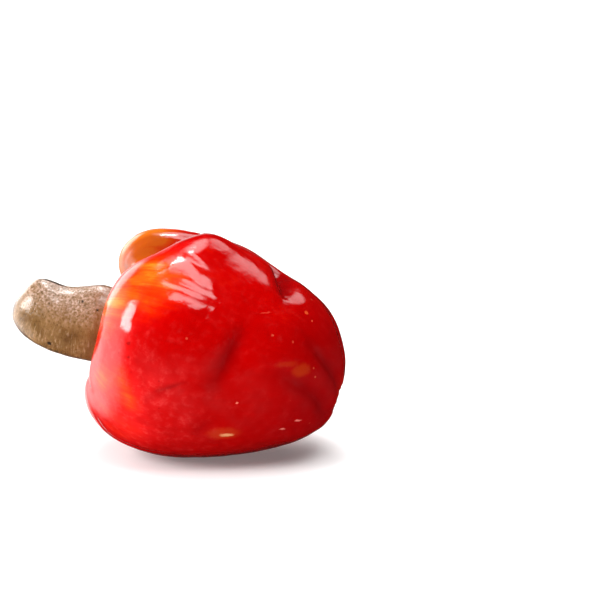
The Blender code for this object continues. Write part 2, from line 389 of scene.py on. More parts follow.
# %% Furrows
FURROWS = {
    "valley at the seat": (
        ((0.09, 80), (0.20, 82), (0.28, 85), (0.34, 88), (0.40, 92)), 0.0044, 0.0062),
    "main furrow, over the top": (
        ((0.20, 84), (0.30, 89), (0.44, 97), (0.55, 102), (0.614, 99), (0.636, 88), (0.648, 75), (0.658, 62)),
        0.0032, 0.0030),
    "back furrow": (((0.09, 182), (0.20, 186), (0.32, 192), (0.46, 190), (0.60, 184)), 0.0026, 0.0036),
    "belly furrow": (((0.10, 268), (0.20, 270), (0.30, 276), (0.40, 278)), 0.0014, 0.0034),
    "near shoulder's fold": (((0.11, 318), (0.20, 322), (0.28, 326)), 0.0008, 0.0030),
    "far shoulder's fold": (((0.11, 140), (0.20, 146), (0.29, 150)), 0.0009, 0.0028),
    "fold across the near lobe": (((0.585, 34), (0.575, 18), (0.560, -4)), 0.0013, 0.0030),
    "fold low on the near lobe": (((0.55, -32), (0.58, -18)), 0.0006, 0.0028),
    "dent in the near lobe": (((0.41, -16), (0.45, -10), (0.49, -4)), 0.0004, 0.0014),
    "upper stem pleat": (((0.95, 36), (0.885, 36), (0.81, 36), (0.74, 42)), 0.0013, 0.0026),
    "near stem pleat": (((0.95, -30), (0.90, -22), (0.85, -2), (0.77, 9), (0.68, 15)), 0.0012, 0.0030),
    "top stem pleat": (((0.95, 92), (0.87, 88), (0.78, 92)), 0.0010, 0.0020),
    "far stem pleat": (((0.95, 138), (0.86, 142), (0.74, 136), (0.66, 138)), 0.0013, 0.0026),
    "back stem pleat": (((0.95, 186), (0.87, 190), (0.78, 186)), 0.0010, 0.0022),
    "lower back stem pleat": (((0.95, 236), (0.86, 232), (0.76, 236), (0.68, 242)), 0.0012, 0.0026),
    "belly's stem pleat": (((0.95, 284), (0.88, 288), (0.80, 284)), 0.0009, 0.0022),
}
FURROW_SHARPNESS = 1.7
FURROW_FADE = 0.6
FURROW_STEPS = 24


def furrow_depth(points, places, depth, half_width):
    """How deep this furrow is at each point: a soft V across it, fading at both ends."""
    route = smooth_path([(share, math.radians(degrees)) for share, degrees in places], FURROW_STEPS)
    line = plain_skin(route[:, 0], route[:, 1])
    along = np.linspace(0.02, 0.98, len(line))
    strengths = np.sin(math.pi * along) ** FURROW_FADE
    nearest = np.full(len(points), np.inf)
    strength = np.zeros(len(points))
    for spot, strength_here in zip(line, strengths):
        away = np.linalg.norm(points - spot, axis=1)
        strength = np.where(away < nearest, strength_here, strength)
        nearest = np.minimum(nearest, away)
    return depth * strength * np.exp(-((nearest / half_width) ** FURROW_SHARPNESS))


print(len(FURROWS), "furrows, the deepest", 1000 * max(depth for _, depth, _ in FURROWS.values()), "mm")

# %% [markdown]
# ## Fine relief
# Up close the skin isn't smooth: it has gentle lumps as wide as a pea, sharp little creases, puckers where
# it closes round the nut and round the stem's scar, and a healed wound. None of these is deeper than half a
# millimetre, so they change how the light plays and not the fruit's outline. They are moved into the mesh
# rather than drawn in the material, because the highlights should bend over them from every side.

# %% Lumps and puckers
LUMP_HEIGHT = 0.00022
LUMPS_PER_METRE = 105
RIPPLE_HEIGHT = 0.00005
RIPPLES_PER_METRE = 330
PUCKERS_AT_SEAT = 23
PUCKERS_AT_STEM = 19
PUCKER_HEIGHT = 0.00022


def lumps(points):
    """Gentle lumps with smaller ripples on them."""
    lift = np.empty(len(points))
    for index, point in enumerate(points):
        place = Vector(point)
        lump = noise.noise(place * LUMPS_PER_METRE)
        ripple = noise.noise(place * RIPPLES_PER_METRE)
        lift[index] = LUMP_HEIGHT * lump + RIPPLE_HEIGHT * ripple
    return lift


def bell(values, middle, spread):
    """1 at the middle, dying away on both sides."""
    return np.exp(-(((values - middle) / spread) ** 2))


def puckers(share, angle):
    """Small radial wrinkles round the nut's seat and the stem's scar."""
    wander = 0.35 * np.sin(3 * angle + 1) + 0.25 * np.sin(5 * angle + 2)
    at_seat = bell(share, 0.07, 0.05) * np.sin(PUCKERS_AT_SEAT * angle + 3 * wander)
    at_stem = bell(share, 0.962, 0.018) * np.sin(PUCKERS_AT_STEM * angle + 4 * wander)
    return PUCKER_HEIGHT * (at_seat + 0.7 * at_stem)


print("lumps of", LUMP_HEIGHT * 1000, "mm and puckers of", PUCKER_HEIGHT * 1000, "mm")

# %% [markdown]
# ## Creases, pits and small lumps
# Creases are thin furrows, so the same function draws them, and a negative depth makes a fine ridge. Pits and
# small lumps are tiny mounds. They sit mostly where the highlights lie, because that is where a bend in the
# skin shows: a smooth fruit with the same paint would look like plastic.

# %% Creases
CREASES = {
    "bottom of the main furrow": (
        ((0.36, 93), (0.46, 98), (0.56, 102), (0.614, 99), (0.636, 88), (0.648, 76)), 0.0005, 0.0007),
    "crease in the dent": (((0.43, -10), (0.467, -5), (0.50, 0)), 0.00035, 0.0005),
    "tail of the dent": (((0.475, -7), (0.50, -4), (0.52, -5)), 0.00012, 0.0005),
    "crease by the upper pleat": (((0.76, 41), (0.81, 36), (0.87, 36)), 0.00020, 0.0012),
    "crease by the near pleat": (((0.70, 12), (0.77, 6), (0.85, -4), (0.90, -26)), 0.00020, 0.0014),
    "groove in the shoulder": (((0.368, 45), (0.384, 43.5), (0.421, 43), (0.50, 41)), 0.00045, 0.0014),
    "ridge along the crest": (((0.38, 84), (0.47, 87), (0.55, 90), (0.61, 90)), -0.00030, 0.0022),
    "groove above it": (((0.40, 60), (0.430, 57), (0.46, 55)), 0.00022, 0.0012),
    "low line": (((0.29, -50), (0.33, -61), (0.40, -60), (0.50, -54)), 0.00030, 0.0007),
    "lower line": (((0.31, -58), (0.36, -68), (0.44, -66), (0.54, -60)), 0.00026, 0.0007),
    "far lobe's line": (((0.11, 101), (0.19, 98), (0.28, 97)), 0.00016, 0.0006),
    "second far line": (((0.12, 90), (0.20, 89), (0.27, 92)), 0.00016, 0.0007),
    "third far line": (((0.15, 94), (0.22, 94), (0.30, 99)), -0.00014, 0.0006),
    "ridge line": (((0.44, 86), (0.50, 88), (0.55, 89)), 0.00018, 0.0008),
    "second ridge line": (((0.36, 84), (0.46, 83), (0.56, 84)), 0.00015, 0.0008),
}
PITS = (
    ((0.489, 51), 0.0005),
    ((0.497, 49), 0.0004),
    ((0.505, 53), 0.0005),
    ((0.515, 47), 0.0004),
    ((0.527, 50), 0.0005),
    ((0.340, 9), 0.0005),
    ((0.350, 2), 0.0005),
)
PIT_DEPTH = 0.00006
SMALL_LUMPS = (
    ((0.408, 63), 0.00009, 0.0016),
    ((0.366, 54), 0.00010, 0.0015),
    ((0.390, 59), -0.00009, 0.0016),
    ((0.370, 24), 0.00006, 0.0010),
    ((0.402, 22), 0.00005, 0.0007),
    ((0.470, 52), 0.00009, 0.0011),
    ((0.486, 46), 0.00008, 0.0010),
    ((0.503, 37), 0.00009, 0.0012),
    ((0.452, 49), -0.00008, 0.0010),
    ((0.191, 92), 0.00009, 0.0010),
    ((0.251, 93), 0.00008, 0.0010),
    ((0.225, 96), -0.00009, 0.0014),
    ((0.210, 86), 0.00010, 0.0018),
    ((0.370, 26), 0.00007, 0.0008),
)


def fine_relief(points, share, angle):
    """All the fine relief together, as a lift of the skin."""
    lift = lumps(points) + puckers(share, angle)
    for places, depth, half_width in CREASES.values():
        lift -= furrow_depth(points, places, depth, half_width)
    for place, spread in PITS:
        lift -= mound_lift(points, place, PIT_DEPTH, spread)
    for small_lump in SMALL_LUMPS:
        lift += mound_lift(points, *small_lump)
    return lift


print(len(CREASES), "creases and", len(PITS), "pits")

# %% [markdown]
# ## The apple's skin
# A ball with rings and meridians is a good start for a fruit: its two poles become the nut's seat and the
# stem's scar, and its rings can crowd together where the shape turns tightly. Each of its points moves to
# its place on the skin. The stem's half bows up a little, and the soft belly is cut off flat at the floor.

# %% Shape of the skin
BOW = 0.0029
BOW_HEIGHT = 0.0125
BOW_POWER = 1.5
POLE_CROWDING = 0.45
APPLE_RINGS = 280
APPLE_MERIDIANS = 336


def crowded(share):
    """Moves the rings of a ball towards both poles."""
    return share - POLE_CROWDING * np.sin(2 * math.pi * share) / (2 * math.pi)


def furrow_lift(points):
    """The depth of all the furrows together."""
    return sum(furrow_depth(points, *furrow) for furrow in FURROWS.values())


def apple_skin(share, angle):
    """Points of the apple's skin in its own axes, and how deep in a furrow each of them is."""
    points = plain_skin(share, angle)
    in_furrow = furrow_lift(points)
    lift = fine_relief(points, share, angle) - in_furrow
    for mound in MOUNDS.values():
        lift += mound_lift(points, *mound)
    points = points + outward(share, angle) * lift[:, None]
    height = np.clip(points[:, 2] / BOW_HEIGHT, 0, None)
    points[:, 1] += BOW * (height * np.exp(1 - height)) ** BOW_POWER
    return points, in_furrow


def ball(rings, meridians):
    """A bmesh ball, with each point's share of the way from its +Z pole and its angle."""
    bm = bmesh.new()
    bmesh.ops.create_uvsphere(bm, u_segments=meridians, v_segments=rings, radius=1)
    unit = np.array([vertex.co for vertex in bm.verts])
    return bm, np.arccos(np.clip(unit[:, 2], -1, 1)) / math.pi, np.arctan2(unit[:, 1], unit[:, 0])


def move_points(bm, points):
    """Puts the bmesh's points at these places and turns its faces outwards."""
    for vertex, point in zip(bm.verts, points):
        vertex.co = point
    bm.normal_update()
    bmesh.ops.recalc_face_normals(bm, faces=bm.faces)


print("the ball for the skin will have", APPLE_RINGS * APPLE_MERIDIANS, "faces")

# %% [markdown]
# ## Make the apple
# A soft fruit is flat where it lies. The flat could be pressed in by moving points, but a plane that cuts
# off what would lie below the floor is simpler and exact. So the ball's points go to their places on the
# skin, the plane cuts, and the hole is filled, so that the mesh stays closed for the Boolean to come.

# %% Make the apple
apple_bm, ball_share, ball_angle = ball(APPLE_RINGS, APPLE_MERIDIANS)
skin_share = crowded(ball_share)
own_points, skin_furrow = apple_skin(skin_share, ball_angle)
skin_points = in_world(own_points, APPLE_TO_WORLD)
move_points(apple_bm, skin_points)
bmesh.ops.bisect_plane(
    apple_bm,
    geom=[*apple_bm.verts, *apple_bm.edges, *apple_bm.faces],
    plane_co=(0, 0, 0),
    plane_no=(0, 0, -1),
    clear_outer=True,
)
bmesh.ops.holes_fill(apple_bm, edges=[edge for edge in apple_bm.edges if edge.is_boundary], sides=0)
apple = new_piece("cashew_apple_skin", apple_bm)
apple_mesh = apple.data
print("the apple's skin has", len(apple_mesh.polygons), "faces")

# %% [markdown]
# ## The nut
# The nut is a kidney: a fat rod with round ends, bent towards one side, with a shallow hollow on the inside
# of the bend. Its outline turns round its own axis like the apple's, then the whole rod is bent. The shell
# is leathery, with fine wrinkles that run across its length on the lower side and faint dimples above.

# %% The nut's outline and bend
NUT_MERIDIAN = (
    (0.000, 0.000),
    (0.500, 0.012),
    (0.850, 0.075),
    (1.000, 0.230),
    (0.985, 0.420),
    (0.960, 0.600),
    (0.890, 0.775),
    (0.690, 0.920),
    (0.380, 0.988),
    (0.000, 1.000),
)
NUT_STRAIGHT = 0.135
NUT_BEND = math.radians(35.5)
NUT_HOLLOW_AT = 0.65
NUT_HOLLOW_DEPTH = 0.0023
NUT_HOLLOW_SPREAD = 0.0082
NUT_TAPER = 0.26
NUT_TABLE = meridian_table(NUT_MERIDIAN, NUT_HALF_WIDTH, NUT_LENGTH)


def nut_shell(share, angle, extra=0.0):
    """Points of the nut's shell in its own axes, grown on all sides by extra. Angle 0 is its hollow side."""
    width = np.interp(share, NUT_TABLE[0], NUT_TABLE[1]) / NUT_HALF_WIDTH
    height = np.interp(share, NUT_TABLE[0], NUT_TABLE[2]) * (1 + 2 * extra / NUT_LENGTH) - extra
    side = width * (NUT_HALF_WIDTH + extra) * np.cos(angle)
    thick = width * (NUT_HALF_THICKNESS + extra) * np.sin(angle) * (1 - NUT_TAPER * np.cos(angle))
    from_hollow = (height - NUT_HOLLOW_AT * NUT_LENGTH) / NUT_HOLLOW_SPREAD
    side = side - NUT_HOLLOW_DEPTH * np.clip(np.cos(angle), 0, 1) ** 2 * np.exp(-(from_hollow**2))
    straight = NUT_STRAIGHT * NUT_LENGTH
    bend_radius = (NUT_LENGTH - straight) / NUT_BEND
    turn = np.clip(height - straight, 0, None) / bend_radius
    along = np.minimum(height, straight) + (bend_radius - side) * np.sin(turn)
    up = side + (bend_radius - side) * (1 - np.cos(turn))
    return np.stack([thick, up, along], axis=-1)


print("the nut bends", round(math.degrees(NUT_BEND)), "degrees")

# %% [markdown]
# ## Wrinkles of the shell
# The shell dries as it ripens, so it shrinks into fine wrinkles across its length, most of all on the side
# that bends outwards, and a faint seam runs along its hollow side. Noise that is squeezed along one axis
# gives wrinkles, and the same noise left round gives dimples. The base stays plain, to fit its seat.

# %% Wrinkles of the shell
SHELL_LUMP = 0.00010
SHELL_WRINKLE = 0.000035
WRINKLES_ALONG = 900
WRINKLES_ACROSS = 60
SHELL_DIMPLES = 260
SHELL_SEAM = 0.00012


def shell_relief(points, share, angle):
    """How far the wrinkles, dimples and seam lift the shell. None of it lifts the base out of its seat."""
    lift = np.empty(len(points))
    lower = np.clip(0.5 - 0.5 * np.cos(angle), 0, 1)
    for index, (point, low) in enumerate(zip(points, lower)):
        x, y, z = point
        dimple = noise.noise(Vector((x, y, z)) * SHELL_DIMPLES)
        wrinkle = noise.noise(Vector((x * WRINKLES_ACROSS, y * WRINKLES_ACROSS, z * WRINKLES_ALONG)))
        lift[index] = SHELL_LUMP * dimple + SHELL_WRINKLE * wrinkle * (0.25 + low)
    seam = bell(np.abs(angle), 0, 0.07) - bell(np.abs(angle), 0.16, 0.07)
    lift -= SHELL_SEAM * seam * bell(share, 0.55, 0.28)
    return lift * np.clip((share - 0.2) / 0.1, 0, 1)


def around(share, angle, shape):
    """Unit normals of a shape from its own neighbouring points."""
    step = 0.004
    along = shape(np.clip(share + step, 0, 1), angle) - shape(np.clip(share - step, 0, 1), angle)
    across = shape(share, angle + step) - shape(share, angle - step)
    normal = np.cross(along, across)
    size = np.linalg.norm(normal, axis=1)[:, None]
    return np.where(size > 1e-12, normal / np.maximum(size, 1e-12), 0)


print("the shell's wrinkles are about", round(1000 / WRINKLES_ALONG, 1), "mm apart")

# %% [markdown]
# ## Make the nut
# The nut is made like the apple, from a ball, but its bend leaves no simple formula for which way is out. So
# the normals come from points next to each other on the shell, and are turned round if they face inwards.

# %% Make the nut
NUT_RINGS = 200
NUT_MERIDIANS = 200
nut_bm, nut_share, nut_angle = ball(NUT_RINGS, NUT_MERIDIANS)
nut_points = nut_shell(nut_share, nut_angle)
nut_normals = around(nut_share, nut_angle, nut_shell)
inside_out = np.sum(nut_normals * (nut_points - nut_points.mean(axis=0))) < 0
nut_normals = -nut_normals if inside_out else nut_normals
nut_points = nut_points + nut_normals * shell_relief(nut_points, nut_share, nut_angle)[:, None]
move_points(nut_bm, in_world(nut_points, NUT_TO_WORLD))
nut = new_piece("cashew_nut_shell", nut_bm)
nut_mesh = nut.data
print("the nut's shell has", len(nut_mesh.polygons), "faces")

# %% [markdown]
# ## The nut's seat
# The apple's flesh closes round the base of the nut. A Boolean takes a slightly larger nut out of the apple,
# which leaves a seat that fits all round. The result is kept as a plain mesh, because the paint that comes
# next is stored on its points.

# %% Cut the seat
CUTTER_RINGS = 60
CUTTER_MERIDIANS = 80
SEAT_EDGE = math.radians(55)

cutter_bm, cutter_share, cutter_angle = ball(CUTTER_RINGS, CUTTER_MERIDIANS)
move_points(cutter_bm, in_world(nut_shell(cutter_share, cutter_angle, NUT_GAP), NUT_TO_WORLD))
cutter = new_piece("seat_cutter", cutter_bm)
cutter_mesh = cutter.data
seat_cut = apple.modifiers.new("seat", "BOOLEAN")
seat_cut.operation = "DIFFERENCE"
seat_cut.solver = "EXACT"
seat_cut.object = cutter
apple_cut = bpy.data.meshes.new_from_object(apple.evaluated_get(bpy.context.evaluated_depsgraph_get()))
apple.modifiers.clear()
apple.data = apple_cut
bpy.data.objects.remove(cutter)
bpy.data.meshes.remove(cutter_mesh)
bpy.data.meshes.remove(apple_mesh)
apple_cut.name = "cashew_apple_skin"
for mesh in (apple_cut, nut_mesh):
    mesh.shade_smooth()
apple_cut.set_sharp_from_angle(angle=SEAT_EDGE)
print("after the cut it has", len(apple_cut.polygons), "faces")

# %% [markdown]
# ## Paint on the skin
# A ripe fruit isn't one red. It is orange and yellow where it ripened last, round the nut and on the far
# lobe, pale pinkish red low on the near side, and deep red elsewhere. The pale red is partly the skin's own
# and partly a painted reflection of the white floor. Those broad zones are painted on the mesh's points as
# two soft masks, one for warmth and one for paleness with its painted reflection, in patches by place on the
# skin. The furrows' painted shade is kept there too. The material adds the streaks and the speckles. Each
# point also keeps its way round the fruit, as a direction round the axis and a share along it, so that the
# streaks can follow the skin from the nut to the stem.

# %% Find each point's place on the skin
finder = KDTree(len(skin_points))
for index, point in enumerate(skin_points):
    finder.insert(point, index)
finder.balance()
nearest_point = np.array([finder.find(vertex.co)[1] for vertex in apple_cut.vertices])
share_here = skin_share[nearest_point]
angle_here = ball_angle[nearest_point]
plain_here = plain_skin(share_here, angle_here)
print("found the place of", len(nearest_point), "points")

# %% [markdown]
# ## Paint the zones
# The zones could come from noise alone, but then the orange would fall anywhere, and on the real fruit it
# lies round the nut and on the far lobe. So each patch is a soft round mound of paint, given by its place,
# its strength and how far it reaches, and the orange veins follow a route as the furrows do. The furrows
# get painted shade, darker the deeper they are, and the crack in the dent gets more of it, because so fine
# a crease would be lost in the gloss.

# %% Paint the zones
WARM_ROUTES = (
    (((0.332, 0), (0.342, -7), (0.358, -13), (0.384, -20), (0.402, -26)), 0.40, 0.0034),
    (((0.256, -12), (0.288, -17), (0.318, -22)), 0.45, 0.0055),
)
WARM_PATCHES = (
    ((0.262, 22), 0.34, 0.0075),
    ((0.272, 31), 0.38, 0.0080),
    ((0.264, 14), 0.25, 0.0055),
    ((0.314, 41), 0.45, 0.0080),
    ((0.340, 48), 0.45, 0.0075),
    ((0.378, 41), 0.35, 0.0065),
    ((0.330, -33), 0.32, 0.0080),
    ((0.400, -38), 0.28, 0.0090),
    ((0.360, -52), 0.24, 0.0080),
    ((0.356, 31), 0.25, 0.0055),
    ((0.390, 47), 0.25, 0.0055),
    ((0.171, 98), 0.80, 0.0080),
    ((0.223, 94), 0.60, 0.0090),
    ((0.270, 98), 0.55, 0.0080),
    ((0.310, 100), 0.30, 0.0060),
    ((0.250, 140), 0.50, 0.0100),
    ((0.270, 185), 0.40, 0.0100),
    ((0.240, 240), 0.45, 0.0100),
    ((0.240, 290), 0.40, 0.0100),
    ((0.330, 212), 0.30, 0.0080),
    ((0.470, 166), 0.28, 0.0110),
    ((0.620, 216), 0.32, 0.0100),
    ((0.800, 150), 0.25, 0.0080),
    ((0.700, 262), 0.22, 0.0100),
)
PALE_AND_REFLECTION_PATCHES = (
    ((0.300, 2), 0.55, 0.0090),
    ((0.330, -22), 0.65, 0.0110),
    ((0.400, -34), 0.45, 0.0100),
    ((0.420, -11), 0.42, 0.0090),
    ((0.500, -26), 0.20, 0.0100),
    ((0.250, -40), 0.50, 0.0110),
    ((0.400, 220), 0.35, 0.0120),
    ((0.350, 150), 0.30, 0.0100),
)
SEAT_WARMTH = 0.34
STEM_WARMTH = 0.45
FULL_SHADE_DEPTH = 0.0013
CRACK = "crease in the dent"
CRACK_SHADE = 2.6


def painted(patches):
    """A mask with all these patches on it."""
    mask = np.zeros(len(plain_here))
    for place, strength, spread in patches:
        mask = np.maximum(mask, mound_lift(plain_here, place, strength, spread) + 0.35 * mask)
    return mask


def store(mesh, name, kind, values):
    """Keeps one value for each of the mesh's points under this name."""
    field = "vector" if kind == "FLOAT_VECTOR" else "value"
    mesh.attributes.new(name, kind, "POINT").data.foreach_set(field, np.asarray(values, np.float32).ravel())


warmth = painted(WARM_PATCHES) + SEAT_WARMTH * bell(share_here, 0.14, 0.10)
warmth += STEM_WARMTH * bell(share_here, 0.98, 0.05)
for route in WARM_ROUTES:
    warmth += furrow_depth(plain_here, *route)
way_here = np.stack([np.cos(angle_here), np.sin(angle_here), share_here], axis=-1)
store(apple_cut, "warmth", "FLOAT", np.clip(warmth, 0, 1))
# The paleness mask holds a painted reflection of the white floor as well as the skin's paler red.
store(apple_cut, "paleness", "FLOAT", np.clip(painted(PALE_AND_REFLECTION_PATCHES), 0, 1))
# Painted shade: the furrows and the crack in the dent darken the red the deeper they are.
furrow_shade = skin_furrow[nearest_point] + CRACK_SHADE * furrow_depth(plain_here, *CREASES[CRACK])
store(apple_cut, "furrow", "FLOAT", np.clip(furrow_shade / FULL_SHADE_DEPTH, 0, 1))
store(apple_cut, "way", "FLOAT_VECTOR", way_here)
store(nut_mesh, "way", "FLOAT_VECTOR", np.stack([np.cos(nut_angle), np.sin(nut_angle), nut_share], axis=-1))
print("warmest", round(float(warmth.max()), 2), "and mean", round(float(warmth.mean()), 2))

# %% [markdown]
# ## A small kit for materials
# Both finishes are built from the same few kinds of node: noise for mottling, ramps for colour, and sums to
# lay one on the other. One helper makes any node and joins it up, and a short one for each kind names what
# it gives, so that a finish reads like a recipe.


# %% Node helpers
def feed(socket, value):
    """Joins a result to a socket, or sets the socket to a plain value."""
    if isinstance(value, bpy.types.NodeSocket):
        socket.id_data.links.new(value, socket)
    else:
        socket.default_value = value


def node(tree, kind, output, values, **settings):
    """Makes a node of this kind, gives it its settings and values, and hands back one of its outputs."""
    made = tree.nodes.new("ShaderNode" + kind)
    for name, setting in settings.items():
        setattr(made, name, setting)
    for name, value in values.items():
        feed(made.inputs[name], value)
    return made.outputs[output]


def stretched(tree, vector, scale):
    """Coordinates stretched by these three factors."""
    return node(tree, "Mapping", "Vector", {"Vector": vector, "Scale": scale})


def mottle(tree, vector, scale, detail=3.0, roughness=0.5, distortion=0.0):
    """Cloudy noise between 0 and 1."""
    values = {"Vector": vector, "Scale": scale, "Detail": detail, "Roughness": roughness}
    return node(tree, "TexNoise", "Fac", {**values, "Distortion": distortion})


def cells(tree, vector, scale):
    """Distance to the nearest of a crowd of points, and a random colour for each of them."""
    distance = node(tree, "TexVoronoi", "Distance", {"Vector": vector, "Scale": scale})
    return distance, distance.node.outputs["Color"]


def sums(tree, operation, *values):
    """One step of arithmetic."""
    return node(tree, "Math", "Value", dict(enumerate(values)), operation=operation)


def vectors(tree, operation, *values):
    """One step of arithmetic with vectors."""
    output = "Value" if operation == "LENGTH" else "Vector"
    return node(tree, "VectorMath", output, dict(enumerate(values)), operation=operation)


def split(tree, kind, value):
    """The three parts of a vector or a colour."""
    return node(tree, "Separate" + kind, 0, {0: value}).node.outputs[:3]


def between(tree, value, low, high, to_low=0.0, to_high=1.0):
    """A smooth step of this value, from low to high."""
    values = {"Value": value, "From Min": low, "From Max": high, "To Min": to_low, "To Max": to_high}
    return node(tree, "MapRange", "Result", values, interpolation_type="SMOOTHSTEP")


def colours(tree, value, stops):
    """A colour ramp with these (place, colour) stops."""
    ramp = node(tree, "ValToRGB", "Color", {"Fac": value})
    steps = ramp.node.color_ramp.elements
    while len(steps) < len(stops):
        steps.new(0.5)
    for step, (place, colour) in zip(steps, stops):
        step.position = place
        step.color = (*colour, 1)
    return ramp


def blend(tree, mask, under, over):
    """Lays one colour over another through a mask."""
    layers = {0: mask}
    for place, colour in ((6, under), (7, over)):
        layers[place] = colour if isinstance(colour, bpy.types.NodeSocket) else (*colour, 1)
    return node(tree, "Mix", 2, layers, data_type="RGBA")


def tinted(tree, under, mask, strength, over):
    """Lays a tint over a colour through a mask, at this strength."""
    return blend(tree, sums(tree, "MULTIPLY", mask, strength), under, over)


def stored(tree, name, output="Fac"):
    """What the mesh's points keep under this name."""
    return node(tree, "Attribute", output, {}, attribute_name=name)


def new_finish(name):
    """An empty material with its node tree, shader and object coordinates."""
    made = bpy.data.materials.new(name)
    made.use_nodes = True
    tree = made.node_tree
    return made, tree, tree.nodes["Principled BSDF"], node(tree, "TexCoord", "Object", {})


def spot(tree, coordinates, centre, reach):
    """A mask of an oval mark: 1 at its centre, 0 outside its reach in x, y and z."""
    offset = vectors(tree, "SUBTRACT", coordinates, tuple(centre))
    scaled = vectors(tree, "DIVIDE", offset, tuple(reach))
    return between(tree, vectors(tree, "LENGTH", scaled), 1.0, 0.35)


def ragged(tree, coordinates, per_metre, detail, reach):
    """Coordinates that wander by this reach, so that what is drawn with them has a ragged edge."""
    cloud = node(tree, "TexNoise", "Color", {"Vector": coordinates, "Scale": per_metre, "Detail": detail})
    centred = vectors(tree, "SUBTRACT", coordinates, (reach / 2,) * 3)
    return vectors(tree, "MULTIPLY_ADD", cloud, (reach,) * 3, centred)


def raised(tree, height, strength, distance):
    """A bump from a height."""
    return node(tree, "Bump", "Normal", {"Height": height, "Strength": strength, "Distance": distance})


print("helpers ready")

# %% [markdown]
# ## The waxy skin
# The skin is thin, wet-looking and slightly see-through, so it has a sharp gloss over a colour that glows a
# little from inside. Its heat, from deep crimson to yellow, is the painted warmth broken up by streaks along
# the fruit, with broad clouds and a fine mottle added. One ramp turns the heat into colour, so that all the
# shades lie on one scale and run into each other as they do on a ripening fruit.

# %% Colour of the skin
SKIN_HEAT = (
    (0.00, (0.22, 0.000, 0.001)),
    (0.20, (0.38, 0.000, 0.000)),
    (0.38, (0.50, 0.000, 0.000)),
    (0.55, (0.65, 0.008, 0.000)),
    (0.72, (0.71, 0.036, 0.001)),
    (0.88, (0.73, 0.090, 0.003)),
    (1.00, (0.74, 0.180, 0.010)),
)
BROAD_CLOUDS = 62
FINE_MOTTLE = 420
STREAKS = (7, 7, 2.4)
FINE_STREAKS = (30, 30, 5.5)
BASE_HEAT = 0.04

skin_finish, skin_tree, skin_shader, skin_at = new_finish("cashew_apple_waxy_skin")
skin_way = stored(skin_tree, "way", "Vector")
_, top_to_belly_shade, skin_along = split(skin_tree, "XYZ", skin_way)
broad = mottle(skin_tree, skin_at, BROAD_CLOUDS, 2.0)
fine_mottle = mottle(skin_tree, skin_at, FINE_MOTTLE, 4.0, 0.6)
streaks = mottle(skin_tree, stretched(skin_tree, skin_way, STREAKS), 1.0, 5.0, 0.62, 0.6)
fine_streaks = mottle(skin_tree, stretched(skin_tree, skin_way, FINE_STREAKS), 1.0, 4.0, 0.6, 0.3)
heat = BASE_HEAT
# The heat also rises towards the top and falls towards the belly: painted shade that deepens the red
# underneath.
for cloud, weight in ((top_to_belly_shade, 0.12), (fine_streaks, 0.12), (fine_mottle, 0.16), (broad, 0.18)):
    heat = sums(skin_tree, "MULTIPLY_ADD", cloud, weight, heat)
streakiness = sums(skin_tree, "MULTIPLY_ADD", streaks, 2.5, -0.22)
heat = sums(skin_tree, "MULTIPLY_ADD", stored(skin_tree, "warmth"), streakiness, heat)
skin_colour = colours(skin_tree, heat, SKIN_HEAT)
print("the skin's colour runs through", len(SKIN_HEAT), "stops")

# %% [markdown]
# ## Pale zone, and painted shade in the furrows
# Low on the near side the red is milky, with pinkish flecks; that paleness is partly the skin's own and
# partly a painted reflection of the white floor. In the furrows and towards the stem the red is darker,
# which is painted shade. Each could be a material of its own, but materials meet in a hard edge, so each is
# a tint that is laid over the red through a soft mask, and a cloud breaks up the pale one.

# %% Pale zone and furrows
PALE_SKIN_AND_REFLECTION = (0.80, 0.020, 0.020)
FLECK_PINK = (0.86, 0.100, 0.095)
SHADE_RED = (0.20, 0.000, 0.001)
PALE_CLOUDS = 240
FLECKS = 430
pale_cloud = mottle(skin_tree, skin_at, PALE_CLOUDS, 4.0, 0.6)
pale_and_reflection_zone = stored(skin_tree, "paleness")
milkiness = between(skin_tree, pale_cloud, 0.25, 0.75, 0.45, 1.0)
# Painted reflection of the white floor, together with the skin's own paler red, low on the near side.
skin_colour = tinted(skin_tree, skin_colour, pale_and_reflection_zone, milkiness, PALE_SKIN_AND_REFLECTION)
flecks = between(skin_tree, mottle(skin_tree, skin_at, FLECKS, 4.0, 0.65), 0.46, 0.72)
fleck_place = sums(skin_tree, "MULTIPLY_ADD", pale_cloud, 0.5, pale_and_reflection_zone)
fleck_strength = between(skin_tree, fleck_place, 0.20, 0.60, 0.03, 0.17)
skin_colour = tinted(skin_tree, skin_colour, flecks, fleck_strength, FLECK_PINK)
# Painted shade in the furrows and the crack.
skin_colour = tinted(skin_tree, skin_colour, stored(skin_tree, "furrow"), 0.65, SHADE_RED)
# Painted shade: the red darkens towards the stem's dimple.
stem_end_shade = between(skin_tree, skin_along, 0.60, 0.88, 0.0, 0.60)
skin_colour = blend(skin_tree, stem_end_shade, skin_colour, SHADE_RED)
print("flecks", round(1000 / FLECKS, 1), "mm apart")

# %% [markdown]
# ## Pores
# The skin breathes through tiny pores, some pale and some dark. A Voronoi texture scatters points, a dot is
# drawn round each, and the random colour that comes with a point decides whether it is shown at all. Each
# row gives how crowded the points are, which part of that colour decides, the dot's rim and core, the
# numbers between which it starts to show, and its strength and tint.

